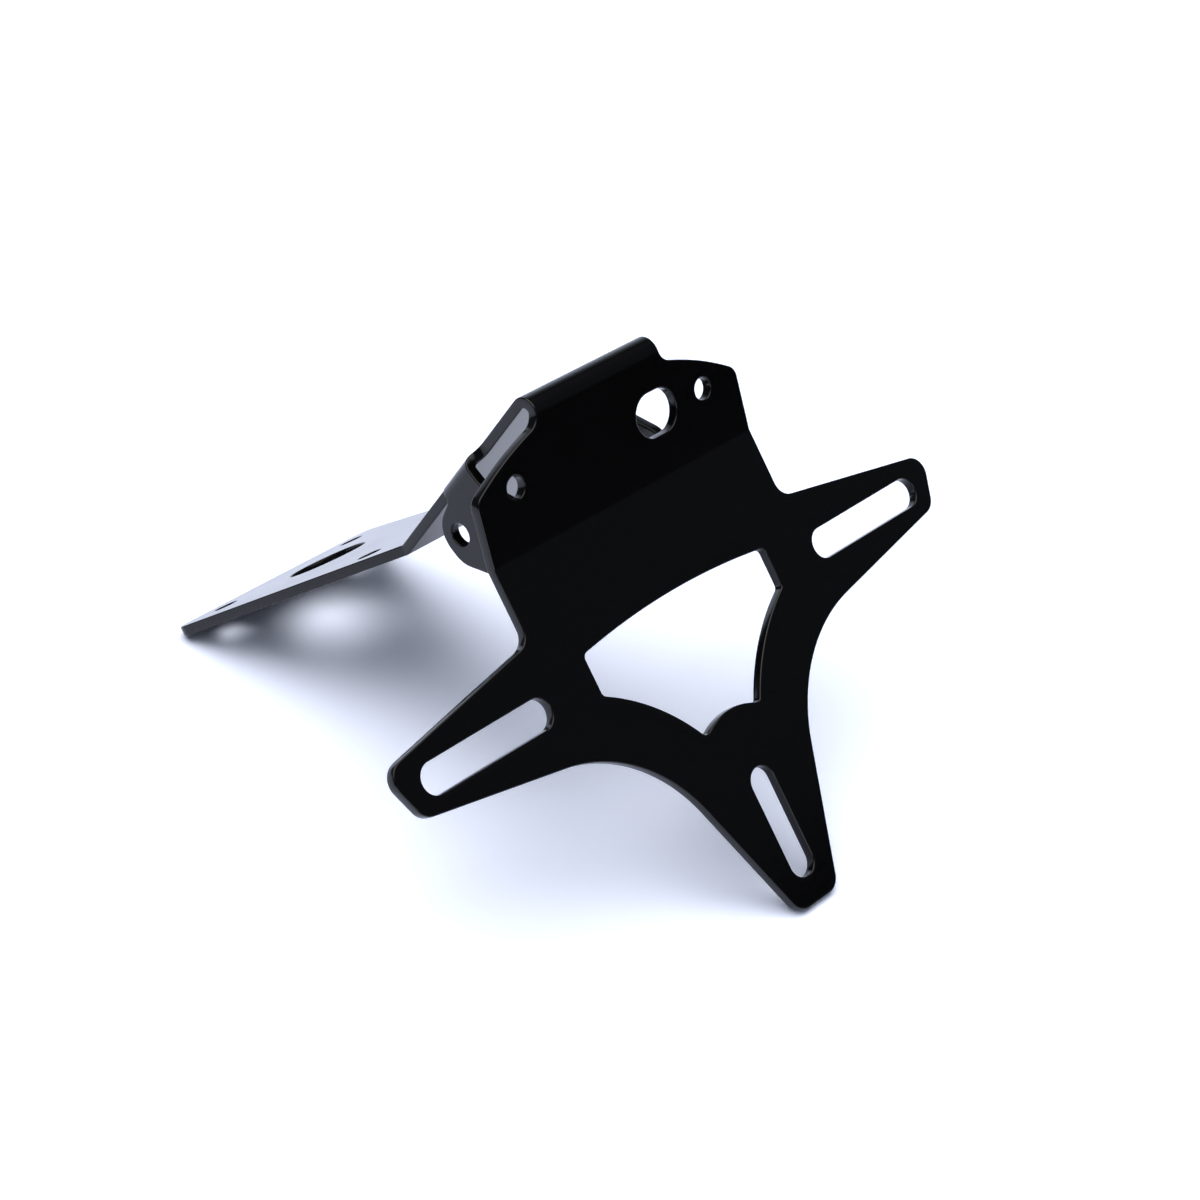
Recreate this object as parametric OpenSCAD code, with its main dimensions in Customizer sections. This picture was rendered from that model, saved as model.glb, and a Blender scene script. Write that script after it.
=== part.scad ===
/* [Sheet] */
// Thickness of the sheet that the whole bracket is folded from
sheet = 3; // [2:0.5:4]
// Inner radius of every bend
bend_r = 1.5; // [1:0.5:3]

/* [Number plate panel] */
// Width across the panel's two side edges
panel_w = 99.4; // [96:0.2:104]
// Height of the panel's bend above the line of the side slots
bend_height = 36.9; // [34:0.1:42]
// Distance between the centres of the two side slots
slot_gap = 150; // [146:1:160]
// Length of each side slot, end to end
slot_len = 44.8; // [36:0.2:50]
// Width of the three number plate slots
slot_w = 8.5; // [6:0.5:9]
// Drop of the tail slot's centre below the side slots
tail_slot_drop = 57.4; // [54:0.2:64]
// Length of the tail slot, end to end
tail_slot_len = 31.7; // [24:0.1:36]
// Metal left beyond the outer end of each side slot
arm_end = 9.1; // [7:0.1:14]
// Slant of the arm tips, from their upper to their lower corner
arm_rake = 5.4; // [3:0.1:8]
// Upper corner of the arm tips above the slot line
arm_tip_rise = 6.95; // [6.5:0.05:8]
// Lower corner of the arm tips below the slot line
arm_tip_drop = 7.4; // [7:0.1:9]
// Height at which the arms leave the panel's side edges
arm_root = 16.9; // [15:0.1:20]
// Metal left below the end of the tail slot
tail_end = 7.25; // [6:0.25:12]
// Width across the tail's tip
tail_tip_w = 15.4; // [14:0.2:20]
// Sideways place of the corner between an arm and the tail
crotch_x = 30.65; // [29:0.05:34]
// Drop of the corner between an arm and the tail
crotch_drop = 19.5; // [18:0.1:22]
// Radius that sweeps from the arms into the tail
crotch_r = 45.8; // [40:0.2:50]
// Radius of the inner corners above the arms
root_r = 4.7; // [3:0.1:7]
// Radius of the corners of the arm tips and of the tail
tip_r = 4.9; // [3:0.1:5.5]

/* [Window] */
// Width of the window between the arms
window_w = 71.6; // [66:0.2:76]
// Top of the window's arched upper edge above the slot line
window_top = 9.8; // [8:0.1:12]
// Radius of the arched upper edge
window_arch_r = 246; // [200:1:320]
// Width of metal kept round the window's swept lower edges and the tail slot
web = 16.9; // [15:0.1:18]
// Radius of the window's corners
window_r = 1.6; // [1:0.1:2.5]

/* [Light panel] */
// Forward lean of the light panel from the number plate panel
light_lean = 17.2; // [12:0.2:22]
// Length of the light panel from its bend to the edge of the top fold
light_len = 40; // [38:0.1:46]
// Distance between the two small light holes
light_gap = 71.8; // [66:0.2:78]
// Diameter of the small light holes
light_hole_d = 6; // [4:0.2:8]
// Height of the light holes above the bend
light_hole_h = 16.5; // [14:0.1:18]
// Height of the cable hole, across its flats
cable_h = 12; // [9:0.5:13]
// Length of the cable hole, end to end
cable_len = 15.2; // [13.5:0.1:18]
// Sideways place of the cable hole's centre
cable_x = 17.4; // [15:0.1:19]
// Radius of the curved shoulders, centred on the panel's midline
shoulder_r = 93; // [85:1:105]
// Height of the shoulders' highest point above the bend
shoulder_top = 31.8; // [31:0.1:33.5]
// Radius of the shoulder corners
shoulder_corner_r = 4; // [2:0.1:6]

/* [Fold and leg] */
// Width of the neck over the top fold
neck_w = 46.6; // [40:0.2:47]
// Radius between the neck and the shoulders
neck_r = 4.5; // [3:0.1:6]
// Drop of the back sheet below the number plate panel's square, in degrees
back_drop = 19; // [15:0.2:23]
// Length of the back sheet from the top fold to the mounting plate's bend
back_len = 79.6; // [72:0.2:90]
// Width of the leg behind the ears
leg_w = 50; // [48:0.2:54]

/* [Mounting plate] */
// Length of the mounting plate from its bend to its end
mount_len = 100.5; // [92:0.5:112]
// Rise of the mounting plate past the number plate panel's square, in degrees
mount_rise = 2; // [0:0.1:4]
// Width of the mounting plate at its end
mount_end_w = 78; // [72:0.5:86]
// Radius of the mounting plate's end corners
mount_corner_r = 5; // [3:0.5:8]
// Distance between the two mounting holes near the end
end_hole_gap = 50.8; // [46:0.2:56]
// Distance of those holes from the end
end_hole_in = 10.5; // [9:0.5:14]
// Distance between the two mounting holes near the bend
bend_hole_gap = 39.6; // [34:0.2:42]
// Distance between the two rows of mounting holes
hole_row_gap = 67.7; // [60:0.1:72]
// Diameter of the four mounting holes
mount_hole_d = 7; // [5:0.5:8]
// Diameter of the mounting plate's large hole
access_d = 24; // [18:0.5:27]
// Distance of the large hole's centre from the end
access_in = 31; // [28:0.5:36]

/* [Indicator ears] */
// Distance between the outer faces of the two ears
ear_span = 56.6; // [55:0.2:60]
// Distance from the top fold's edge to the front of the ears' bend
ear_front = 34.5; // [33:0.1:36]
// Width of the ears at their bend
ear_neck = 14.3; // [12:0.1:16]
// Diameter of the indicator hole
ear_hole_d = 6.5; // [5:0.5:8]
// Distance from the top fold's edge to the indicator hole
ear_hole_back = 52.7; // [51:0.1:54]
// Depth of the indicator hole below the back sheet's upper face
ear_hole_drop = 12.3; // [11.5:0.1:14]
// Radius of the lobe round the indicator hole
lobe_r = 7; // [5.5:0.1:8]
// Depth of the ears below the back sheet's upper face
ear_depth = 32; // [28:0.5:36]
// Gap between the ears' front edges and the back of the number plate panel
ear_gap = 4; // [3:0.5:6]

/* [Hidden] */
$fn = 96;

outer_r = bend_r + sheet;
half_w = panel_w / 2;
cut = 1;
// How far a round cuts across the edges that it blends, so that they meet in clean corners
bite = 0.001;

function unit(v) = v / norm(v);
function side_of(a, p, b) = cross(p - a, b - p);
function half_angle(a, p, b) = acos(unit(a - p) * unit(b - p)) / 2;
// Centre of the round that blends the corner at p
function round_centre(a, p, b, r) = p + unit(unit(a - p) + unit(b - p)) * r / sin(half_angle(a, p, b));
// Point where that round leaves the edge from p towards q
function round_foot(a, p, b, r, q) = p + unit(q - p) * r / tan(half_angle(a, p, b));
function xy(c) = [c[0], c[1]];
function corner(p, r) = [p[0], p[1], r];
// Crossing of two circles that lies further up
function upper_crossing(c, rc, d, rd) =
    let (gap = norm(d - c), e = (d - c) / gap, along = (gap * gap + rc * rc - rd * rd) / (2 * gap),
         off = sqrt(rc * rc - along * along), n = [-e[1], e[0]])
    c + e * along + n * off * (n[1] > 0 ? 1 : -1);

// What lies between a round and the two edges that it joins, reaching a little past the corner
module corner_bit(c, t1, t2, r, reach = 1) {
    difference() {
        polygon([c, c + (t1 - c) * reach, c + (t1 - c + t2 - c) * reach, c + (t2 - c) * reach]);
        translate(c) circle(r + bite);
    }
}

// What lies between the round at p and its two edges, reaching a little past them
module kite(a, p, b, r) {
    c = round_centre(a, p, b, r);
    past = 1 + cut / r;
    difference() {
        polygon([c, c + (round_foot(a, p, b, r, a) - c) * past, p + unit(p - c) * 2 * cut,
            c + (round_foot(a, p, b, r, b) - c) * past]);
        translate(c) circle(r + bite, $fn = 192);
    }
}

// Polygon of [x, y, radius] corners, counter-clockwise, each corner rounded outwards or inwards
module rounded_outline(corners) {
    n = len(corners);
    difference() {
        union() {
            polygon([for (c = corners) xy(c)]);
            for (i = [0:n - 1]) {
                a = xy(corners[(i + n - 1) % n]);
                p = xy(corners[i]);
                b = xy(corners[(i + 1) % n]);
                if (corners[i][2] > 0 && side_of(a, p, b) < 0) kite(a, p, b, corners[i][2]);
            }
        }
        for (i = [0:n - 1]) {
            a = xy(corners[(i + n - 1) % n]);
            p = xy(corners[i]);
            b = xy(corners[(i + 1) % n]);
            if (corners[i][2] > 0 && side_of(a, p, b) > 0) kite(a, p, b, corners[i][2]);
        }
    }
}

module slot(length, width) {
    square([length - width, width], center = true);
    for (x = [-1, 1]) translate([x * (length - width) / 2, 0]) circle(d = width);
}

// Outline cut square through the sheet: x across, y along the strip, the sheet's skin at z = 0
module through() {
    translate([0, 0, -sheet - bend_r]) linear_extrude(sheet + 2 * bend_r) children();
}

// Number plate panel

arm_x = slot_gap / 2 + slot_len / 2 + arm_end;
tail_y = -(tail_slot_drop + tail_slot_len / 2 + tail_end);
crotch = [crotch_x, -crotch_drop];
lower_tip = [arm_x - arm_rake, -arm_tip_drop];
tail_tip = [tail_tip_w / 2, tail_y];
sweep_c = round_centre(lower_tip, crotch, tail_tip, crotch_r);
slot_end = [0, -tail_slot_drop + (tail_slot_len - slot_w) / 2];

arm_root_p = [half_w, arm_root];
upper_tip = [arm_x, arm_tip_rise];

// The arms and the tail, below the panel's straight sides
module arms_outline() {
    right = [
        corner(arm_root_p, 0),
        corner(upper_tip, tip_r),
        corner(lower_tip, tip_r),
        corner(crotch, crotch_r),
        corner(tail_tip, tip_r)];
    rounded_outline(concat([for (c = right) [-c[0], c[1], c[2]]], [for (i = [4:-1:0]) right[i]]));
    for (s = [0, 1]) mirror([s, 0]) kite(upper_tip, arm_root_p, [half_w, bend_height], root_r);
}

arch_c = [0, window_top - window_arch_r];
sweep_r = crotch_r + web;
boss_r = slot_w / 2 + web;
window_side = window_w / 2;

// Corner between the arch and a side
module window_top_corner() {
    c = [window_side - window_r, arch_c[1] + sqrt(pow(window_arch_r - window_r, 2) - pow(window_side - window_r, 2))];
    corner_bit(c, c + [window_r, 0], arch_c + unit(c - arch_c) * window_arch_r, window_r, 1.3);
}

// Corner between a side and a swept lower edge
module window_side_corner() {
    x = window_side - window_r;
    c = [x, sweep_c[1] + sqrt(pow(sweep_r + window_r, 2) - pow(sweep_c[0] - x, 2))];
    corner_bit(c, sweep_c + unit(c - sweep_c) * sweep_r, c + [window_r, 0], window_r, 1.6);
}

// Notch between a swept lower edge and the boss over the tail slot
module window_notch() {
    c = upper_crossing(sweep_c, sweep_r + window_r, slot_end, boss_r + window_r);
    corner_bit(c, slot_end + unit(c - slot_end) * boss_r, sweep_c + unit(c - sweep_c) * sweep_r, window_r, 2);
}

module window_outline() {
    difference() {
        intersection() {
            translate([-window_side, slot_end[1]]) square([window_w, window_top - slot_end[1]]);
            translate(arch_c) circle(window_arch_r, $fn = 720);
        }
        translate(slot_end) circle(boss_r, $fn = 192);
        for (s = [0, 1]) mirror([s, 0]) {
            translate(sweep_c) circle(sweep_r, $fn = 360);
            window_top_corner();
            window_side_corner();
            window_notch();
        }
    }
}

module number_panel() {
    through() difference() {
        arms_outline();
        window_outline();
        for (x = [-1, 1]) translate([x * slot_gap / 2, 0]) slot(slot_len, slot_w);
        translate([0, -tail_slot_drop]) rotate(90) slot(tail_slot_len, slot_w);
    }
}

// Panel between the window and the bend, a little wider than its sides, which slab() cuts
module upper_panel() {
    low = (window_top + arm_root) / 2;
    through() translate([-half_w - cut, low]) square([panel_w + 2 * cut, bend_height + cut - low]);
}

// Light panel: y runs up from its bend line, its sides cut by slab()

half_neck = neck_w / 2;
shoulder_c = [0, shoulder_top - shoulder_r];

module shoulder_corner() {
    x = half_w - shoulder_corner_r;
    c = [x, shoulder_c[1] + sqrt(pow(shoulder_r - shoulder_corner_r, 2) - x * x)];
    corner_bit(c, c + [shoulder_corner_r, 0], shoulder_c + unit(c - shoulder_c) * shoulder_r, shoulder_corner_r,
        1 + 1.5 * cut / shoulder_corner_r);
}

module neck_corner() {
    x = half_neck + neck_r;
    c = [x, shoulder_c[1] + sqrt(pow(shoulder_r + neck_r, 2) - x * x)];
    corner_bit(c, shoulder_c + unit(c - shoulder_c) * shoulder_r, c - [neck_r, 0], neck_r, 1.3);
}

module light_outline() {
    difference() {
        union() {
            intersection() {
                translate([-half_w - cut, -cut]) square([panel_w + 2 * cut, shoulder_top + 2 * cut]);
                translate(shoulder_c) circle(shoulder_r, $fn = 360);
            }
            for (s = [0, 1]) mirror([s, 0]) neck_corner();
        }
        for (s = [0, 1]) mirror([s, 0]) shoulder_corner();
    }
}

module light_panel() {
    through() difference() {
        light_outline();
        for (x = [-1, 1]) translate([x * light_gap / 2, light_hole_h]) circle(d = light_hole_d);
        translate([cable_x, light_hole_h]) slot(cable_len, cable_h);
    }
}

// Back sheet: y runs back from the top fold's edge

half_leg = leg_w / 2;
ear_rear = ear_front + ear_neck;
ear_root = ear_span / 2 - outer_r;

module back_outline() {
    rear = back_len + cut;
    polygon([[half_neck, outer_r], [half_neck, ear_front - 3 * neck_r], [ear_root, ear_front - neck_r],
        [ear_root, ear_rear - sheet / 2], [half_leg, ear_rear - sheet / 2], [half_leg, rear], [-half_leg, rear],
        [-half_leg, ear_rear - sheet / 2], [-ear_root, ear_rear - sheet / 2], [-ear_root, ear_front - neck_r],
        [-half_neck, ear_front - 3 * neck_r], [-half_neck, outer_r]]);
}

// Ear seen from the side: x back along the sheet, y up from its skin

// Where the line along which an ear clears the number plate panel's back meets the sheet's skin
panel_foot = light_len * sin(light_lean) / cos(back_drop) + (sheet + ear_gap) / cos(back_drop);
function clear_x(y) = panel_foot - y * tan(back_drop);
lobe_back = ear_hole_back + lobe_r;

module ear_outline() {
    rounded_outline([
        [ear_front - neck_r - 2, cut, 0],
        [ear_front - neck_r - 2, 0, 0],
        [ear_front, -1.2, neck_r],
        [ear_front - 0.5, -ear_hole_drop / 2 - 2, neck_r],
        [clear_x(-ear_hole_drop - 8), -ear_hole_drop - 8, lobe_r],
        [clear_x(-ear_depth), -ear_depth, lobe_r],
        [ear_hole_back - (ear_depth - ear_hole_drop - 13) * 0.86, -ear_depth, lobe_r],
        [lobe_back, -ear_hole_drop - 5.1, lobe_r * 0.7],
        [lobe_back, -ear_hole_drop + 4.2, lobe_r * 0.7],
        [ear_rear + 0.5, -ear_hole_drop / 3, 1.5],
        [ear_rear, cut, 0]]);
}

// Section of an ear's bend and wall: x outwards, y up
module ear_section() {
    translate([ear_root, -outer_r]) intersection() {
        difference() {
            circle(outer_r);
            circle(bend_r);
        }
        square(outer_r);
    }
    translate([ear_root + bend_r, -ear_depth - cut]) square([sheet, ear_depth + cut - outer_r]);
    translate([ear_root - cut, -sheet]) square([cut, sheet]);
}

module ear() {
    front = ear_front - neck_r - 3 * cut;
    intersection() {
        translate([0, front, 0]) rotate([90, 0, 180]) mirror([1, 0, 0])
            linear_extrude(lobe_back + cut - front) ear_section();
        rotate([90, 0, 90]) linear_extrude(ear_span) ear_outline();
    }
}

module back_sheet() {
    through() back_outline();
    // the neck over the top fold
    translate([-half_neck, -outer_r, -2 * outer_r - 2 * cut])
        cube([neck_w, 3 * outer_r, 2 * outer_r + 3 * cut]);
}

module ears() {
    for (s = [0, 1]) mirror([s, 0, 0]) difference() {
        ear();
        translate([0, ear_hole_back, -ear_hole_drop]) rotate([0, 90, 0]) cylinder(d = ear_hole_d, h = ear_span);
    }
}

// Mounting plate: y runs back from its bend line

module mount_outline() {
    flare = (mount_end_w - leg_w) / 2 / mount_len;
    rounded_outline([
        [-half_leg + flare * cut, -cut, 0],
        [half_leg - flare * cut, -cut, 0],
        [mount_end_w / 2, mount_len, mount_corner_r],
        [-mount_end_w / 2, mount_len, mount_corner_r]]);
}

module mounting_plate() {
    end_row = mount_len - end_hole_in;
    through() difference() {
        mount_outline();
        for (x = [-1, 1]) {
            translate([x * end_hole_gap / 2, end_row]) circle(d = mount_hole_d);
            translate([x * bend_hole_gap / 2, end_row - hole_row_gap]) circle(d = mount_hole_d);
        }
        translate([0, mount_len - access_in]) circle(d = access_d);
    }
}

// Side view of the folded sheet: x back along the back sheet from the top fold's edge, y up

function run(turn) = [cos(turn), sin(turn)];
function inward(turn) = [sin(turn), -cos(turn)];
// Corner of the underside below the corner p between two runs
function under(p, s, t) = p + (inward(s) + inward(t)) * sheet / (1 + inward(s) * inward(t));

panel_turn = 90 + back_drop;
light_turn = panel_turn + light_lean;
mount_turn = back_drop + mount_rise;
fold_point = [0, 0];
leg_point = [back_len, 0];
end_point = leg_point + mount_len * run(mount_turn);
bend_point = -light_len * run(light_turn);
slot_point = bend_point - bend_height * run(panel_turn);
tail_point = slot_point + tail_y * run(panel_turn);
end_foot = end_point + sheet * inward(mount_turn);
tail_foot = tail_point + sheet * inward(panel_turn);

module side_profile() {
    rounded_outline([
        corner(tail_foot, 0),
        corner(under(bend_point, panel_turn, light_turn), outer_r),
        corner(under(fold_point, light_turn, 0), bend_r),
        corner(under(leg_point, 0, mount_turn), outer_r),
        corner(end_foot, 0),
        corner(end_point, 0),
        corner(leg_point, bend_r),
        corner(fold_point, outer_r),
        corner(bend_point, bend_r),
        corner(tail_point, 0)]);
}

// Puts a flat in its place along the side view
module at(p, turn) {
    translate([0, p[0], p[1]]) rotate([turn, 0, 0]) children();
}

// All that lies between two upright sides
module slab(width) {
    reach = mount_len + back_len;
    translate([-width / 2, -reach, -reach]) cube([width, 2 * reach, 2 * reach]);
}

module folded_sheet() {
    union() {
        intersection() {
            rotate([90, 0, 90]) linear_extrude(2 * arm_x + 2 * cut, center = true) side_profile();
            union() {
                at(slot_point, panel_turn) number_panel();
                intersection() {
                    slab(panel_w);
                    union() {
                        at(slot_point, panel_turn) upper_panel();
                        at(bend_point, light_turn) light_panel();
                    }
                }
                back_sheet();
                at(leg_point, mount_turn) mounting_plate();
            }
        }
        ears();
    }
}

// It lies on the tail's tip and on the mounting plate's end

lie = atan2(end_foot[1] - tail_foot[1], end_foot[0] - tail_foot[0]);
function lying(p) = [p[0] * cos(lie) + p[1] * sin(lie), -p[0] * sin(lie) + p[1] * cos(lie)];
middle = (lying(tail_point)[0] + lying(end_point)[0]) / 2;

module bracket() {
    color([0.03, 0.03, 0.035])
        translate([0, -middle, -lying(tail_foot)[1]]) rotate([-lie, 0, 0]) folded_sheet();
}

bracket();
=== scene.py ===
import bpy
import math
from mathutils import Matrix, Vector
from mathutils.geometry import delaunay_2d_cdt


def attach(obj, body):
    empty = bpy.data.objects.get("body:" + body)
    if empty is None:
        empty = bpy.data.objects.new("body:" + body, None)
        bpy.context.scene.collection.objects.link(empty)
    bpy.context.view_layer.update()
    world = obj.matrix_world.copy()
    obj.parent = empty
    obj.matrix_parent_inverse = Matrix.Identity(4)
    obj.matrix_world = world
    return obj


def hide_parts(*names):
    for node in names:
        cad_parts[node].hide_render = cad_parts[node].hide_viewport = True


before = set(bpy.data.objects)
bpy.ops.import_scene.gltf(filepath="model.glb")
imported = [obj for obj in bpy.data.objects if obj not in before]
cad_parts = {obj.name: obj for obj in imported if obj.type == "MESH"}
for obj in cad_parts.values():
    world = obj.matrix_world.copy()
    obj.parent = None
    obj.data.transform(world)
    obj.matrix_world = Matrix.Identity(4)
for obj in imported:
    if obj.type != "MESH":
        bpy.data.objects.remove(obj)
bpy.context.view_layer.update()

# The sheet's sizes are in millimetres and degrees, the stage's in metres

METRE = 1000

# Sheet, bends and flats

SHEET = 3.0
BEND_IN = 1.5
BEND_OUT = BEND_IN + SHEET
LIGHT_LEAN, BACK_DROP, MOUNT_RISE = 17.2, 19.0, 2.0
BEND_HEIGHT, LIGHT_LEN, BACK_LEN, MOUNT_LEN = 36.9, 40.0, 79.6, 100.5
HALF_PANEL, HALF_NECK, HALF_LEG, HALF_END = 49.7, 23.3, 25.0, 39.0

# Number plate panel: slots, arms, tail and window

SLOT_W, SLOT_LEN, SLOT_X = 8.5, 44.8, 75.0
TAIL_SLOT_DROP, TAIL_SLOT_LEN, TAIL_END, TAIL_HALF = 57.4, 31.7, 7.25, 7.7
ARM_END, ARM_RAKE, ARM_RISE, ARM_DROP, ARM_ROOT = 9.1, 5.4, 6.95, 7.4, 16.9
TIP_R, ROOT_R = 4.9, 4.7
CROTCH, CROTCH_R = (30.65, -19.5), 45.8
WINDOW_HALF, WINDOW_TOP, WINDOW_R = 35.8, 9.8, 1.6
ARCH_R, WEB = 246, 16.9

# Light panel: shoulders, neck and holes

SHOULDER_TOP, SHOULDER_R, SHOULDER_CORNER_R = 31.8, 93, 4
NECK_R = 4.5
LIGHT_HOLE_X, LIGHT_HOLE_UP, LIGHT_HOLE_R = 35.9, 16.5, 3
CABLE_X, CABLE_LEN, CABLE_W = 17.4, 15.2, 12

# Mounting plate: corners, and holes from the middle line and in from the end

MOUNT_CORNER_R = 5
MOUNT_HOLE_R = 3.5
END_HOLE_X, END_HOLE_IN = 25.4, 10.5
BEND_HOLE_X, BEND_HOLE_IN = 19.8, 78.2
ACCESS_IN, ACCESS_R = 31, 12

# Ears: a turn of the edge is (back along the sheet, down from its skin, radius)

EAR_SPAN, EAR_BEND_IN = 56.6, 0.5
EAR_GAP = 4
EAR_FRONT, EAR_FRONT_FILLET = 34.1, 5.2
EAR_FRONT_TURN = (34.0, 8.15, 4.5)
EAR_SLOPE_DOWN, EAR_DEPTH, EAR_LOW_R = 20.3, 32, 7
LOBE_FOOT, LOBE_BACK, LOBE_R = 47.5, 59.5, 8
LOBE_LOW, LOBE_HIGH = 17.85, 6.4
EAR_REAR_TURN = (49.4, 4.35, 1)
EAR_REAR_FOOT = (47.8, 3.4, 0.9)
EAR_REAR, EAR_REAR_FILLET = 49.6, 1.2
EAR_HOLE_BACK, EAR_HOLE_DOWN, EAR_HOLE_R = 52.7, 12.3, 3.25

# Rounded cut edges, and the narrow bands of faces beside edges and bends that keep the flats flat

EDGE_ROUND, EDGE_LAND = 0.38, 0.3
EDGE_ANGLES = (0, 22.5, 45, 67.5, 90)
WALL_LAND, LONG_WALL = 0.7, 2.8
CREASE_LAND = 0.5

# How finely curves and bends are divided

ARC_LEAST, ARC_TURN, ARC_STEP = 3, 6, 2.5
HOLE_POINTS, ACCESS_POINTS = 48, 96
CREASE_STEPS, FOLD_STEPS, LEG_STEPS, EAR_STEPS = 5, 28, 6, 18

# Stretches of the blank that the crease lines and the ears lie in

CREASE_REACH = 70
EAR_START, EAR_STOP = 24.0, 66
EAR_CREASE_END = 49.25
EAR_ROOT_END, OFF_LEG = 49.2, 0.05

# Tolerances on the blank, the limit on mitres in sharp corners, and the triangulation of the whole hull

SAME_PLACE, ON_LINE, MERGE = 1e-6, 1e-4, 1e-5
NEAR_END = 1e-3
PAST_END, SHORTEST_CREASE = 1, 0.05
LEAST_MITRE = 0.5
WITH_HULL = 0

# Angles of the bends, and the radius of the sheet's middle in them

EAR_TURN = 90
PANEL_TURN = 90 + BACK_DROP
FOLD_TURN = PANEL_TURN + LIGHT_LEAN
LEG_TURN = BACK_DROP + MOUNT_RISE
MID_R = (BEND_IN + BEND_OUT) / 2


def tan_half(turn):
    return math.tan(math.radians(turn) / 2)


def mid_length(turn):
    """Length of a bend along the middle of the sheet."""
    return MID_R * math.radians(turn)


# Places along the flat blank: 0 is the top fold's edge, the back sheet runs up from it

FOLD_TOP = BEND_OUT * tan_half(FOLD_TURN)
FOLD_LOW = FOLD_TOP - mid_length(FOLD_TURN)
LIGHT_SHIFT = FOLD_LOW - (LIGHT_LEN - FOLD_TOP)
CREASE_TOP = LIGHT_SHIFT + BEND_IN * tan_half(LIGHT_LEAN)
CREASE_LOW = CREASE_TOP - mid_length(LIGHT_LEAN)
PANEL_SHIFT = CREASE_LOW - (BEND_HEIGHT - BEND_IN * tan_half(LIGHT_LEAN))
LEG_LOW = BACK_LEN - BEND_IN * tan_half(LEG_TURN)
LEG_TOP = LEG_LOW + mid_length(LEG_TURN)
MOUNT_SHIFT = LEG_TOP - BEND_IN * tan_half(LEG_TURN)
EAR_BEND_OUT = EAR_BEND_IN + SHEET
EAR_ROOT = EAR_SPAN / 2 - EAR_BEND_OUT
EAR_BEND = (EAR_BEND_IN + EAR_BEND_OUT) / 2 * math.pi / 2
EAR_SHIFT = EAR_ROOT + EAR_BEND - EAR_BEND_OUT
ARM_END_X = SLOT_X + SLOT_LEN / 2 + ARM_END
TAIL_Y = -(TAIL_SLOT_DROP + TAIL_SLOT_LEN / 2 + TAIL_END)


# Outlines of the blank: closed lists of (x, y) with the metal on the left

def arc(centre, start, end, left):
    """Points from start to end round centre, turning left or right."""
    r = math.dist(centre, start)
    a = math.atan2(start[1] - centre[1], start[0] - centre[0])
    b = math.atan2(end[1] - centre[1], end[0] - centre[0])
    turn = (b - a) % math.tau if left else -((a - b) % math.tau)
    n = max(ARC_LEAST, math.ceil(abs(turn) / math.radians(ARC_TURN)), math.ceil(abs(turn) * r / ARC_STEP))
    return [(centre[0] + r * math.cos(a + turn * i / n), centre[1] + r * math.sin(a + turn * i / n))
            for i in range(n + 1)]


def toward(p, q, d):
    """Point at distance d from p towards q."""
    k = d / math.dist(p, q)
    return (p[0] + (q[0] - p[0]) * k, p[1] + (q[1] - p[1]) * k)


def round_centre(a, p, b, r):
    """Centre of a round of radius r in the corner p between a and b, and half of the corner's angle."""
    u, w = (Vector(a) - Vector(p)).normalized(), (Vector(b) - Vector(p)).normalized()
    half = math.acos(max(-1, min(1, u.dot(w)))) / 2
    return tuple(Vector(p) + (u + w).normalized() * r / math.sin(half)), half


def rounded(corners):
    """Open run of (x, y, radius) corners, each but the ends rounded."""
    run = [corners[0][:2]]
    for i in range(1, len(corners) - 1):
        a, (x, y, r), b = corners[i - 1][:2], corners[i], corners[i + 1][:2]
        p = (x, y)
        c, half = round_centre(a, p, b, r)
        foot = r / math.tan(half)
        left = (p[0] - a[0]) * (b[1] - p[1]) - (p[1] - a[1]) * (b[0] - p[0]) > 0
        run += arc(c, toward(p, a, foot), toward(p, b, foot), left)
    return run + [corners[-1][:2]]


def with_lands(loop):
    """Closed run with a point set near each end of its long straight edges, so that they shade flat."""
    out = []
    for i, p in enumerate(loop):
        q = loop[(i + 1) % len(loop)]
        d = math.dist(p, q)
        if d < SAME_PLACE:
            continue
        out.append(p)
        if d > LONG_WALL:
            out += [toward(p, q, WALL_LAND), toward(q, p, WALL_LAND)]
    return out


def mirrored(half):
    """Closed outline from its right half, which starts and ends on the middle line."""
    return half + [(-x, y) for x, y in reversed(half[1:-1])]


def round_hole(x, y, r, count=HOLE_POINTS):
    turns = [math.tau * i / count for i in range(count)]
    return [(x + r * math.cos(turn), y - r * math.sin(turn)) for turn in turns]


def slotted_hole(x, y, length, width, upright=False):
    r, reach = width / 2, (length - width) / 2
    right = arc((reach, 0), (reach, r), (reach, -r), False)
    left = arc((-reach, 0), (-reach, -r), (-reach, r), False)
    return [(x - b, y + a) if upright else (x + a, y + b) for a, b in right + left]


# Places on a flat as places on the blank, with a corner's radius after them

def on_panel(x, y, *r):
    return (x, y + PANEL_SHIFT, *r)


def on_light(x, y, *r):
    return (x, y + LIGHT_SHIFT, *r)


def on_mount(x, y, *r):
    return (x, y + MOUNT_SHIFT, *r)


def on_ear(back, down, *r):
    return (down + EAR_SHIFT, back, *r)


# Stretches of the outer outline's right half

def panel_edge(shoulder_side):
    """From the tail's tip round an arm to the side of the light panel."""
    return rounded([on_panel(0, TAIL_Y), on_panel(TAIL_HALF, TAIL_Y, TIP_R), on_panel(*CROTCH, CROTCH_R),
                    on_panel(ARM_END_X - ARM_RAKE, -ARM_DROP, TIP_R), on_panel(ARM_END_X, ARM_RISE, TIP_R),
                    on_panel(HALF_PANEL, ARM_ROOT, ROOT_R), on_light(HALF_PANEL, shoulder_side)])


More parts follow.
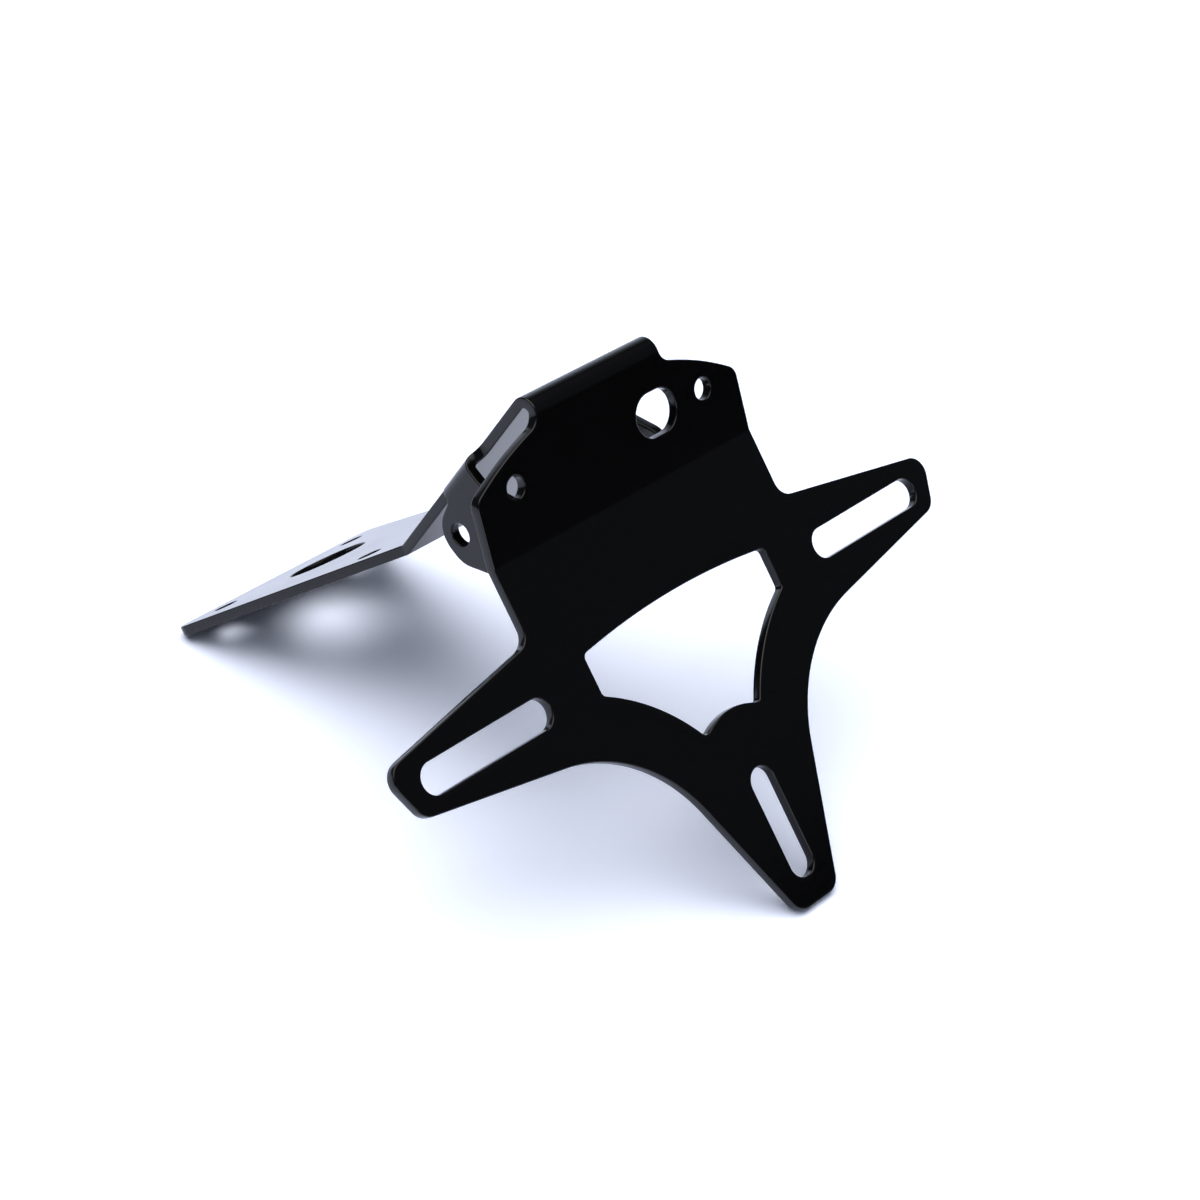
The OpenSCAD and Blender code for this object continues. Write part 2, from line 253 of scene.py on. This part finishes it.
def shoulder_edge(shoulder, corner, neck):
    """From the side of the light panel over its shoulder into the neck, as places on the light panel."""
    return (arc(corner, (HALF_PANEL, corner[1]), toward(shoulder, corner, SHOULDER_R), True)
            + arc(shoulder, toward(shoulder, corner, SHOULDER_R), toward(shoulder, neck, SHOULDER_R), True)
            + arc(neck, toward(shoulder, neck, SHOULDER_R), (HALF_NECK, neck[1]), False))


def ear_edge(neck_end):
    """From the neck round an ear to the bend of the mounting plate."""
    lean, drop = math.radians(LIGHT_LEAN), math.radians(BACK_DROP)
    clear = (LIGHT_LEN * math.sin(lean) + SHEET + EAR_GAP) / math.cos(drop)
    slope = math.tan(drop)
    return rounded([on_light(HALF_NECK, neck_end), (HALF_NECK, EAR_FRONT, EAR_FRONT_FILLET),
                    on_ear(*EAR_FRONT_TURN),
                    on_ear(clear + EAR_SLOPE_DOWN * slope, EAR_SLOPE_DOWN, EAR_LOW_R),
                    on_ear(clear + EAR_DEPTH * slope, EAR_DEPTH, EAR_LOW_R),
                    on_ear(LOBE_FOOT, EAR_DEPTH, EAR_LOW_R), on_ear(LOBE_BACK, LOBE_LOW, LOBE_R),
                    on_ear(LOBE_BACK, LOBE_HIGH, LOBE_R), on_ear(*EAR_REAR_TURN), on_ear(*EAR_REAR_FOOT),
                    (HALF_LEG, EAR_REAR, EAR_REAR_FILLET), (HALF_LEG, LEG_LOW)])


def outer_outline():
    shoulder = (0, SHOULDER_TOP - SHOULDER_R)
    corner_x, corner_r = HALF_PANEL - SHOULDER_CORNER_R, SHOULDER_R - SHOULDER_CORNER_R
    corner = (corner_x, shoulder[1] + math.sqrt(corner_r ** 2 - corner_x ** 2))
    neck_x, neck_r = HALF_NECK + NECK_R, SHOULDER_R + NECK_R
    neck = (neck_x, shoulder[1] + math.sqrt(neck_r ** 2 - neck_x ** 2))
    over = [on_light(*p) for p in shoulder_edge(shoulder, corner, neck)]
    end = rounded([(HALF_LEG, LEG_TOP), on_mount(HALF_END, MOUNT_LEN, MOUNT_CORNER_R),
                   on_mount(0, MOUNT_LEN)])
    return mirrored(panel_edge(corner[1]) + over + ear_edge(neck[1]) + end)


def window_outline():
    """Arched window: its lower edges keep a web round the sweeps into the tail and round the tail slot."""
    lower, tail = (ARM_END_X - ARM_RAKE, -ARM_DROP), (TAIL_HALF, TAIL_Y)
    sweep, _ = round_centre(lower, CROTCH, tail, CROTCH_R)
    sweep_r = CROTCH_R + WEB
    boss, boss_r = (0, -TAIL_SLOT_DROP + (TAIL_SLOT_LEN - SLOT_W) / 2), SLOT_W / 2 + WEB
    side, r = WINDOW_HALF, WINDOW_R
    arch = (0, WINDOW_TOP - ARCH_R)
    high = (side - r, arch[1] + math.sqrt((ARCH_R - r) ** 2 - (side - r) ** 2))
    low = (side - r, sweep[1] + math.sqrt((sweep_r + r) ** 2 - (sweep[0] - side + r) ** 2))
    gap = math.dist(sweep, boss)
    along = (gap * gap + (sweep_r + r) ** 2 - (boss_r + r) ** 2) / (2 * gap)
    off = math.sqrt((sweep_r + r) ** 2 - along ** 2)
    ex, ey = (boss[0] - sweep[0]) / gap, (boss[1] - sweep[1]) / gap
    notch = (sweep[0] + ex * along + ey * off, sweep[1] + ey * along - ex * off)
    half = (arc(boss, (0, boss[1] + boss_r), toward(boss, notch, boss_r), False)
            + arc(notch, toward(boss, notch, boss_r), toward(sweep, notch, sweep_r), True)
            + arc(sweep, toward(sweep, notch, sweep_r), toward(sweep, low, sweep_r), False)
            + arc(low, toward(sweep, low, sweep_r), (side, low[1]), True)
            + arc(high, (side, high[1]), toward(arch, high, ARCH_R), True)
            + arc(arch, toward(arch, high, ARCH_R), (0, WINDOW_TOP), True))
    return [on_panel(*p) for p in reversed(mirrored(half))]


def all_outlines():
    loops = [outer_outline(), window_outline()]
    for side in (-1, 1):
        loops += [slotted_hole(*on_panel(side * SLOT_X, 0), SLOT_LEN, SLOT_W),
                  round_hole(*on_light(side * LIGHT_HOLE_X, LIGHT_HOLE_UP), LIGHT_HOLE_R),
                  round_hole(side * (EAR_HOLE_DOWN + EAR_SHIFT), EAR_HOLE_BACK, EAR_HOLE_R),
                  round_hole(*on_mount(side * END_HOLE_X, MOUNT_LEN - END_HOLE_IN), MOUNT_HOLE_R),
                  round_hole(*on_mount(side * BEND_HOLE_X, MOUNT_LEN - BEND_HOLE_IN), MOUNT_HOLE_R)]
    loops += [slotted_hole(*on_panel(0, -TAIL_SLOT_DROP), TAIL_SLOT_LEN, SLOT_W, upright=True),
              slotted_hole(*on_light(CABLE_X, LIGHT_HOLE_UP), CABLE_LEN, CABLE_W),
              round_hole(*on_mount(0, MOUNT_LEN - ACCESS_IN), ACCESS_R, ACCESS_POINTS)]
    return [with_lands(loop) for loop in loops]


# The blank: both skins, and walls with rounded edges

def inset(loop, d):
    """Loop moved into the metal, which lies on its left."""
    out, n = [], len(loop)
    for i in range(n):
        a, p, b = Vector(loop[i - 1]), Vector(loop[i]), Vector(loop[(i + 1) % n])
        u, w = (p - a).normalized(), (b - p).normalized()
        m = Vector((-u.y - w.y, u.x + w.x)).normalized()
        k = max(LEAST_MITRE, m.dot(Vector((-w.y, w.x))))
        out.append(tuple(p + m * d / k))
    return out


def crossings(loop, lines):
    """(edge, share) of each place where the loop crosses a crease line."""
    found = []
    for i, p in enumerate(loop):
        q = loop[(i + 1) % len(loop)]
        for axis, value, low, high in lines:
            other = 1 - axis
            if (p[axis] - value) * (q[axis] - value) < 0:
                t = (value - p[axis]) / (q[axis] - p[axis])
                if low < p[other] + (q[other] - p[other]) * t < high and NEAR_END < t < 1 - NEAR_END:
                    found.append((i, t))
    return sorted(found)


def divided(loop, cuts):
    """Loop with a point added at each cut."""
    out = []
    for i, p in enumerate(loop):
        out.append(p)
        q = loop[(i + 1) % len(loop)]
        out += [(p[0] + (q[0] - p[0]) * t, p[1] + (q[1] - p[1]) * t) for k, t in cuts if k == i]
    return out


def crease_lines():
    """Lines across the blank along which it bends: (axis, value, low, high of the other axis)."""
    lines = []
    for low, high, steps in ((CREASE_LOW, CREASE_TOP, CREASE_STEPS), (FOLD_LOW, FOLD_TOP, FOLD_STEPS),
                             (LEG_LOW, LEG_TOP, LEG_STEPS)):
        bend = [low + (high - low) * i / steps for i in range(steps + 1)]
        values = [low - CREASE_LAND] + bend + [high + CREASE_LAND]
        lines += [(1, v, -CREASE_REACH, CREASE_REACH) for v in values]
    bend = [EAR_ROOT + EAR_BEND * i / EAR_STEPS for i in range(EAR_STEPS + 1)]
    values = [EAR_ROOT - CREASE_LAND] + bend + [EAR_ROOT + EAR_BEND + CREASE_LAND]
    return lines + [(0, side * v, EAR_START, EAR_CREASE_END) for v in values for side in (-1, 1)]


def edge_rings():
    """(inset, depth) of each ring of points round an edge, from the upper skin to the lower one."""
    quarter = [(EDGE_ROUND * (1 - math.sin(math.radians(a))), EDGE_ROUND * (1 - math.cos(math.radians(a))))
               for a in EDGE_ANGLES]
    upper = [(EDGE_ROUND + EDGE_LAND, 0)] + quarter
    return upper + [(d, SHEET - z) for d, z in reversed(upper)]


def inside(x, y, loops):
    odd = False
    for loop in loops:
        for i, (ax, ay) in enumerate(loop):
            bx, by = loop[i - 1]
            if (ay > y) != (by > y) and x < (bx - ax) * (y - ay) / (by - ay) + ax:
                odd = not odd
    return odd


def on_an_ear(x, y):
    """Whether a point of the blank folds down with an ear."""
    edge = EAR_ROOT if y < EAR_ROOT_END else HALF_LEG + OFF_LEG
    return EAR_START < y < EAR_STOP and abs(x) > edge


def outline_edges(loops):
    """Edges round each loop, with the points numbered through all of them."""
    edges, start = [], 0
    for loop in loops:
        edges += [(start + i, start + (i + 1) % len(loop)) for i in range(len(loop))]
        start += len(loop)
    return edges


def crease_edges(flat, lines, loops):
    """Edges along the crease lines, wherever there is metal between two points on one."""
    edges = []
    for axis, value, low, high in lines:
        on_line = sorted((p[1 - axis], i) for i, p in enumerate(flat)
                         if abs(p[axis] - value) < ON_LINE
                         and low - PAST_END < p[1 - axis] < high + PAST_END)
        for (s, i), (t, j) in zip(on_line, on_line[1:]):
            middle = [0, 0]
            middle[axis], middle[1 - axis] = value, (s + t) / 2
            if t - s > SHORTEST_CREASE and inside(*middle, loops):
                edges.append((i, j))
    return edges


def skin_triangles(flat, edges, loops):
    """Triangles that fill the metal of a skin, each turned to face up."""
    found = []
    points = [Vector(p) for p in flat]
    placed, _, triangles, sources, _, _ = delaunay_2d_cdt(points, edges, [], WITH_HULL, MERGE)
    for triangle in triangles:
        x, y = (sum(placed[i][k] for i in triangle) / 3 for k in (0, 1))
        if inside(x, y, loops):
            at = [sources[i][0] for i in triangle]
            a, b, c = (flat[i] for i in at)
            if (b[0] - a[0]) * (c[1] - a[1]) - (b[1] - a[1]) * (c[0] - a[0]) < 0:
                at.reverse()
            found.append(at)
    return found


def make_blank():
    """The flat blank, with an attribute that marks its ears."""
    lines, rings = crease_lines(), edge_rings()
    points, faces, skins = [], [], []
    for loop in all_outlines():
        inner = inset(loop, rings[0][0])
        cuts = crossings(inner, lines)
        n = len(loop) + len(cuts)
        base = len(points)
        for d, depth in rings:
            points += [(x, y, -depth) for x, y in divided(inset(loop, d), cuts)]
        for k in range(len(rings) - 1):
            a, b = base + k * n, base + (k + 1) * n
            faces += [(a + i, b + i, b + (i + 1) % n, a + (i + 1) % n) for i in range(n)]
        skins.append((divided(inner, cuts), base, base + (len(rings) - 1) * n))
    loops = [loop for loop, _, _ in skins]
    flat = [p for loop in loops for p in loop]
    upper = [top + i for loop, top, _ in skins for i in range(len(loop))]
    lower = [bottom + i for loop, _, bottom in skins for i in range(len(loop))]
    edges = outline_edges(loops) + crease_edges(flat, lines, loops)
    for triangle in skin_triangles(flat, edges, loops):
        faces.append(tuple(upper[i] for i in triangle))
        faces.append(tuple(lower[i] for i in reversed(triangle)))
    mesh = bpy.data.meshes.new("blank")
    mesh.from_pydata([(x / METRE, y / METRE, z / METRE) for x, y, z in points], [], faces)
    mesh.validate()
    ear = mesh.attributes.new("ear", "FLOAT", "POINT")
    ear.data.foreach_set("value", [float(on_an_ear(x, y)) for x, y, _ in points])
    mesh.polygons.foreach_set("use_smooth", [True] * len(mesh.polygons))
    return bpy.data.objects.new("blank", mesh)


# Nodes

def add(tree, kind, settings=None, **sockets):
    """Adds a node: its settings first, then its sockets' values or links, by name or as i and a number."""
    node = tree.nodes.new(kind)
    for name, value in (settings or {}).items():
        setattr(node, name, value)
    for name, value in sockets.items():
        numbered = name[0] == "i" and name[1:].isdigit()
        socket = node.inputs[int(name[1:])] if numbered else node.inputs[name.replace("_", " ")]
        if isinstance(value, Value):
            tree.links.new(value.socket, socket)
        elif isinstance(value, bpy.types.NodeSocket):
            tree.links.new(value, socket)
        else:
            socket.default_value = value
    return node


class Value:
    """A number socket that adds its Math nodes when it is used in an expression."""

    def __init__(self, tree, socket):
        self.tree, self.socket = tree, socket

    def math(self, operation, *others):
        node = add(self.tree, "ShaderNodeMath", {"operation": operation})
        for socket, value in zip(node.inputs, (self, *others)):
            if isinstance(value, Value):
                self.tree.links.new(value.socket, socket)
            else:
                socket.default_value = value
        return Value(self.tree, node.outputs[0])

    def __add__(self, other):
        return self.math("ADD", other)

    def __sub__(self, other):
        return self.math("SUBTRACT", other)

    def __mul__(self, other):
        return self.math("MULTIPLY", other)

    def __truediv__(self, other):
        return self.math("DIVIDE", other)

    def __rsub__(self, other):
        return (self * -1) + other

    __radd__, __rmul__ = __add__, __mul__

    def within(self, low, high):
        return self.math("MAXIMUM", low).math("MINIMUM", high)


def bend_group():
    """Bends what lies past a line: the sheet runs along, its height is over the upper skin."""
    group = bpy.data.node_groups.new("bend", "GeometryNodeTree")
    names = ("Along", "Height", "Line", "From", "To", "Turn", "Centre")
    for name in names:
        group.interface.new_socket(name, in_out="INPUT", socket_type="NodeSocketFloat")
    for name in ("Along", "Height"):
        group.interface.new_socket(name, in_out="OUTPUT", socket_type="NodeSocketFloat")
    given = add(group, "NodeGroupInput")
    along, height, line, low, high, turn, centre = (Value(group, given.outputs[name]) for name in names)
    past = along - line
    bent = past.within(low, high)
    angle = bent / (high - low) * turn
    c, s = angle.math("COSINE"), angle.math("SINE")
    straight, level = past - bent, height - centre
    add(group, "NodeGroupOutput", i0=line + straight * c - level * s, i1=centre + straight * s + level * c)
    return group


def fold_tree():
    """Folds the blank and coats it: ears first, then the crease, the mounting plate and the top fold."""
    tree = bpy.data.node_groups.new("fold blank", "GeometryNodeTree")
    tree.interface.new_socket("Blank", in_out="INPUT", socket_type="NodeSocketGeometry")
    names = ("Inner radius", "Ear radius", "Sheet", "Crease turn", "Fold turn", "Leg turn", "Ear turn")
    for name in names:
        tree.interface.new_socket(name, in_out="INPUT", socket_type="NodeSocketFloat")
    tree.interface.new_socket("Coat", in_out="INPUT", socket_type="NodeSocketMaterial")
    tree.interface.new_socket("Bracket", in_out="OUTPUT", socket_type="NodeSocketGeometry")
    given = add(tree, "NodeGroupInput")
    sizes = [Value(tree, given.outputs[name]) for name in names]
    inner, ear_inner, sheet, crease, fold, leg, ear_turn = sizes
    bend = bend_group()

    def bent(along, height, line, low, high, turn, centre):
        node = add(tree, "GeometryNodeGroup", {"node_tree": bend}, Along=along, Height=height,
                   Line=line / METRE, From=low / METRE, To=high / METRE, Turn=turn, Centre=centre)
        return Value(tree, node.outputs[0]), Value(tree, node.outputs[1])

    place = add(tree, "GeometryNodeInputPosition")
    parts = add(tree, "ShaderNodeSeparateXYZ", Vector=place.outputs[0])
    x, y, z = (Value(tree, s) for s in parts.outputs)
    outer = (inner + sheet) * -1
    marked = add(tree, "GeometryNodeInputNamedAttribute", {"data_type": "FLOAT"}, Name="ear")
    on_ears = Value(tree, marked.outputs[0])
    side = x.math("SIGN")
    ear_outer = (ear_inner + sheet) * -1
    ear_x, ear_z = bent(x.math("ABSOLUTE"), z, EAR_ROOT, 0, EAR_BEND, ear_turn * -1, ear_outer)
    x, z = x + (ear_x * side - x) * on_ears, z + (ear_z - z) * on_ears
    y, z = bent(y, z, CREASE_TOP, CREASE_LOW - CREASE_TOP, 0, crease, inner)
    y, z = bent(y, z, LEG_LOW, 0, LEG_TOP - LEG_LOW, leg, inner)
    y, z = bent(y, z, FOLD_TOP, FOLD_LOW - FOLD_TOP, 0, fold * -1, outer)
    folded = add(tree, "ShaderNodeCombineXYZ", X=x, Y=y, Z=z)
    moved = add(tree, "GeometryNodeSetPosition", Geometry=given.outputs["Blank"], Position=folded.outputs[0])
    whole = add(tree, "GeometryNodeRealizeInstances", Geometry=moved.outputs[0])
    coated = add(tree, "GeometryNodeSetMaterial", Geometry=whole.outputs[0], Material=given.outputs["Coat"])
    add(tree, "NodeGroupOutput", i0=coated.outputs[0])
    return tree


def resting_place():
    """Lays the folded sheet on its tail's tip and its mounting plate's end, the origin midway between."""
    def run(turn):
        return Vector((math.cos(math.radians(turn)), math.sin(math.radians(turn))))

    def under(turn):
        return Vector((math.sin(math.radians(turn)), -math.cos(math.radians(turn))))

    slot_line = -LIGHT_LEN * run(FOLD_TURN) - BEND_HEIGHT * run(PANEL_TURN)
    tail = slot_line + TAIL_Y * run(PANEL_TURN)
    end = Vector((BACK_LEN, 0)) + MOUNT_LEN * run(LEG_TURN)
    tail_foot, end_foot = tail + SHEET * under(PANEL_TURN), end + SHEET * under(LEG_TURN)
    lie = math.atan2(end_foot.y - tail_foot.y, end_foot.x - tail_foot.x)
    turn = Matrix.Rotation(-lie, 4, "X")

    def lying(p):
        return turn @ Vector((0, p.x / METRE, p.y / METRE))

    shift = Vector((0, -(lying(tail).y + lying(end).y) / 2, -lying(tail_foot).z))
    return Matrix.Translation(shift) @ turn


# Black coat: colours, gloss, and the heights of grain and dust next to the peel's

COAT_COLOUR, DUST_COLOUR = (0.0018, 0.0018, 0.0021, 1), (0.2, 0.2, 0.21, 1)
COAT_IOR = 1.37
COAT_ROUGHNESS, UNEVEN_ROUGHNESS, DUST_ROUGHNESS = 0.15, 0.08, 0.3
GRAIN_HEIGHT, DUST_HEIGHT = 0.12, 0.6
DUST_SIZE, DUST_HIDDEN, DUST_EDGE, DUST_COVER = 0.05, 0.028, 60, 0.35
CLOUD_MIDDLE = 0.5


def black_coat():
    """Black powder coat with a satin gloss: fine orange peel, uneven gloss and a few specks of dust."""
    material = bpy.data.materials.new("black coat")
    material.use_nodes = True
    tree = material.node_tree
    shader = tree.nodes["Principled BSDF"]
    where = add(tree, "ShaderNodeTexCoord").outputs["Object"]
    peel = add(tree, "ShaderNodeTexNoise", Vector=where, Scale=620.0, Detail=1.5, Roughness=0.45)
    grain = add(tree, "ShaderNodeTexNoise", Vector=where, Scale=3400.0, Detail=1.0, Roughness=0.5)
    cloud = add(tree, "ShaderNodeTexNoise", Vector=where, Scale=26.0, Detail=3.0, Roughness=0.6)
    speck = add(tree, "ShaderNodeTexVoronoi", {"feature": "F1"}, Vector=where, Scale=210.0)
    pick = add(tree, "ShaderNodeSeparateColor", Color=speck.outputs["Color"])
    size = Value(tree, pick.outputs[0]) * DUST_SIZE - DUST_HIDDEN
    dust = ((size - Value(tree, speck.outputs["Distance"])) * DUST_EDGE).within(0, 1)
    uneven = Value(tree, cloud.outputs["Fac"]) - CLOUD_MIDDLE
    height = Value(tree, peel.outputs["Fac"]) + Value(tree, grain.outputs["Fac"]) * GRAIN_HEIGHT
    height = height + dust * DUST_HEIGHT
    bump = add(tree, "ShaderNodeBump", Strength=0.06, Distance=0.0004, Height=height)
    colour = add(tree, "ShaderNodeMix", {"data_type": "RGBA"}, i0=dust * DUST_COVER, i6=COAT_COLOUR,
                 i7=DUST_COLOUR)
    roughness = uneven * UNEVEN_ROUGHNESS + COAT_ROUGHNESS + dust * DUST_ROUGHNESS
    tree.links.new(colour.outputs[2], shader.inputs["Base Color"])
    tree.links.new(roughness.socket, shader.inputs["Roughness"])
    tree.links.new(bump.outputs[0], shader.inputs["Normal"])
    shader.inputs["IOR"].default_value = COAT_IOR
    return material


# Floor: its colour to other rays and to the camera, and how it turns white further out

FLOOR_COLOUR, FLOOR_SEEN = (1, 1.06, 1.27, 1), (1.16, 1.23, 1.45, 1)
WHITE_FROM, WHITE_RATE, WHITE_GLOW = 0.25, 2, 0.9


def floor_finish():
    """Pale bluish floor with the bracket's soft shadows, which glows white to the camera further out."""
    material = bpy.data.materials.new("white floor")
    material.use_nodes = True
    tree = material.node_tree
    tree.nodes.remove(tree.nodes["Principled BSDF"])
    where = add(tree, "ShaderNodeTexCoord").outputs["Object"]
    away = Value(tree, add(tree, "ShaderNodeVectorMath", {"operation": "LENGTH"}, i0=where).outputs["Value"])
    path = add(tree, "ShaderNodeLightPath")
    colour = add(tree, "ShaderNodeMix", {"data_type": "RGBA"}, i0=path.outputs["Is Camera Ray"],
                 i6=FLOOR_COLOUR, i7=FLOOR_SEEN)
    matt = add(tree, "ShaderNodeBsdfDiffuse", Color=colour.outputs[2])
    ring = ((away - WHITE_FROM) * WHITE_RATE).within(0, 1) * Value(tree, path.outputs["Is Camera Ray"])
    glow = add(tree, "ShaderNodeEmission", Color=(1, 1, 1, 1), Strength=ring * WHITE_GLOW)
    both = add(tree, "ShaderNodeAddShader", i0=matt.outputs[0], i1=glow.outputs[0])
    tree.links.new(both.outputs[0], tree.nodes["Material Output"].inputs["Surface"])
    return material


def painted_reflection_finish(name, colour, strength, fade_from=1.0, fade_over=1.0):
    """Card seen only in the gloss of the coat, fading out above a height: a painted reflection, which throws
    no light on matt surfaces.
    """
    material = bpy.data.materials.new(name)
    material.use_nodes = True
    tree = material.node_tree
    tree.nodes.remove(tree.nodes["Principled BSDF"])
    path = add(tree, "ShaderNodeLightPath")
    place = add(tree, "ShaderNodeSeparateXYZ", Vector=add(tree, "ShaderNodeTexCoord").outputs["Object"])
    fade = 1 - ((Value(tree, place.outputs["Z"]) - fade_from) / fade_over).within(0, 1)
    glow = add(tree, "ShaderNodeEmission", Color=colour, Strength=fade * fade * strength)
    clear = add(tree, "ShaderNodeBsdfTransparent")
    both = add(tree, "ShaderNodeMixShader", i0=path.outputs["Is Glossy Ray"], i1=clear.outputs[0],
               i2=glow.outputs[0])
    tree.links.new(both.outputs[0], tree.nodes["Material Output"].inputs["Surface"])
    return material


# The bracket

coat = black_coat()
blank = make_blank()
bpy.context.scene.collection.objects.link(blank)
folds = fold_tree()
folding = blank.modifiers.new("fold", "NODES")
folding.node_group = folds
settings = {"Inner radius": BEND_IN / METRE, "Ear radius": EAR_BEND_IN / METRE, "Sheet": SHEET / METRE,
            "Crease turn": math.radians(LIGHT_LEAN), "Fold turn": math.radians(FOLD_TURN),
            "Leg turn": math.radians(LEG_TURN), "Ear turn": math.radians(EAR_TURN), "Coat": coat}
for item in folds.interface.items_tree:
    if item.in_out == "INPUT" and item.name in settings:
        folding[item.identifier] = settings[item.name]
bpy.context.view_layer.update()
shape = bpy.data.meshes.new_from_object(blank.evaluated_get(bpy.context.evaluated_depsgraph_get()))
bpy.data.objects.remove(blank)
shape.transform(resting_place())
bracket = bpy.data.objects.new("coated_bracket", shape)
bpy.context.scene.collection.objects.link(bracket)
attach(bracket, "root")
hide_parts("bracket")


# Floor, and cards that paint reflections into the coat's gloss

FLOOR_LEFT, FLOOR_RIGHT, FLOOR_FRONT, FLOOR_BACK = -1.6, 1.7, -0.6, 1.9
CARD_FOOT = 0.002


def stage_piece(name, corners, finish):
    mesh = bpy.data.meshes.new(name)
    mesh.from_pydata(corners, [], [(0, 1, 2, 3)])
    mesh.materials.append(finish)
    piece = bpy.data.objects.new(name, mesh)
    bpy.context.scene.collection.objects.link(piece)


def standing_card(name, place, facing, width, height, finish):
    """Upright card whose middle stands at place, at right angles to facing."""
    along = Vector((-facing[1], facing[0], 0)).normalized() * width / 2
    foot = Vector((*place, CARD_FOOT))
    top = Vector((0, 0, height))
    stage_piece(name, [foot - along, foot + along, foot + along + top, foot - along + top], finish)


stage_piece("floor", [(FLOOR_LEFT, FLOOR_FRONT, 0), (FLOOR_RIGHT, FLOOR_FRONT, 0),
                      (FLOOR_RIGHT, FLOOR_BACK, 0), (FLOOR_LEFT, FLOOR_BACK, 0)], floor_finish())
# Painted sheen, chiefly along the top fold: a bluish glow behind on the right, seen only in the coat's gloss
standing_card("painted_sheen_card", place=(1.05, 1.2), facing=(0.66, 0.75), width=2.4, height=1.9,
              finish=painted_reflection_finish("painted sheen card", (0.78, 0.85, 1, 1), strength=1.3,
                                 fade_from=0.5, fade_over=1.4))
# Painted hairline highlights along the rounded cut edges: a bright glow at the front left, seen only in the
# coat's gloss
standing_card("painted_glint_card", place=(-1.0, -1.05), facing=(0.7, 0.7), width=0.9, height=0.55,
              finish=painted_reflection_finish("painted glint card", (0.92, 0.95, 1, 1), strength=4))
# Painted dark reflection that keeps the light panel black: a black sheet at the front right, seen only in
# the coat's gloss
standing_card("painted_dark_reflection_card", place=(0.45, -0.55), facing=(0.634, -0.773), width=1.3, height=0.22,
              finish=painted_reflection_finish("painted dark reflection card", (0, 0, 0, 1), strength=0))


# Surround and lamps

ROOM_DIM, ROOM_MATT, ROOM_SEEN = 0.1, 0.12, 0.9
ROOM_COLOUR, ROOM_WHITE = (0.8, 0.88, 1, 1), (1, 1, 1, 1)


def dim_room():
    """Surround: dim and bluish to the coat's gloss, less dim to matt surfaces and white to the camera."""
    world = bpy.data.worlds.new("studio")
    bpy.context.scene.world = world
    world.use_nodes = True
    tree = world.node_tree
    path = add(tree, "ShaderNodeLightPath")
    glow = tree.nodes["Background"]
    seen = Value(tree, path.outputs["Is Camera Ray"])
    matt = Value(tree, path.outputs["Is Diffuse Ray"])
    tree.links.new((seen * ROOM_SEEN + matt * ROOM_MATT + ROOM_DIM).socket, glow.inputs["Strength"])
    tint = add(tree, "ShaderNodeMix", {"data_type": "RGBA"}, i0=seen, i6=ROOM_COLOUR, i7=ROOM_WHITE)
    tree.links.new(tint.outputs[2], glow.inputs["Color"])


def soft_lamp(name, place, target, size, power, colour):
    lamp = bpy.data.lights.new(name, "AREA")
    lamp.shape, lamp.size, lamp.size_y, lamp.energy, lamp.color = "RECTANGLE", *size, power, colour
    holder = bpy.data.objects.new(name, lamp)
    holder.location = place
    holder.rotation_euler = (Vector(target) - Vector(place)).to_track_quat("-Z", "Y").to_euler()
    bpy.context.scene.collection.objects.link(holder)


dim_room()
soft_lamp("top", place=(-0.1, 0, 1.2), target=(0, 0, 0.03), size=(1.4, 1.4), power=10,
          colour=(1, 0.97, 0.93))
soft_lamp("ceiling", place=(-0.4, 0, 1.7), target=(-0.4, 0, 0), size=(2.8, 3), power=28,
          colour=(0.97, 0.98, 1))

# Camera: its place, and the directions of its right, its top and its back

CAMERA_PLACE = (-0.497539, -0.446619, 0.493652)
CAMERA_RIGHT = (0.66876236, -0.74214672, 0.04444255)
CAMERA_UP = (0.3885398, 0.39983379, 0.83016249)
CAMERA_BACK = (-0.63387201, -0.53791373, 0.55574733)

camera = bpy.data.cameras.new("camera")
camera.sensor_width = 36
camera.lens = 88.36
view = bpy.data.objects.new("camera", camera)
turned = Matrix((CAMERA_RIGHT, CAMERA_UP, CAMERA_BACK)).transposed()
view.matrix_world = Matrix.Translation(CAMERA_PLACE) @ turned.to_4x4()
bpy.context.scene.collection.objects.link(view)
bpy.context.scene.camera = view
bpy.context.scene.view_settings.view_transform = "Standard"
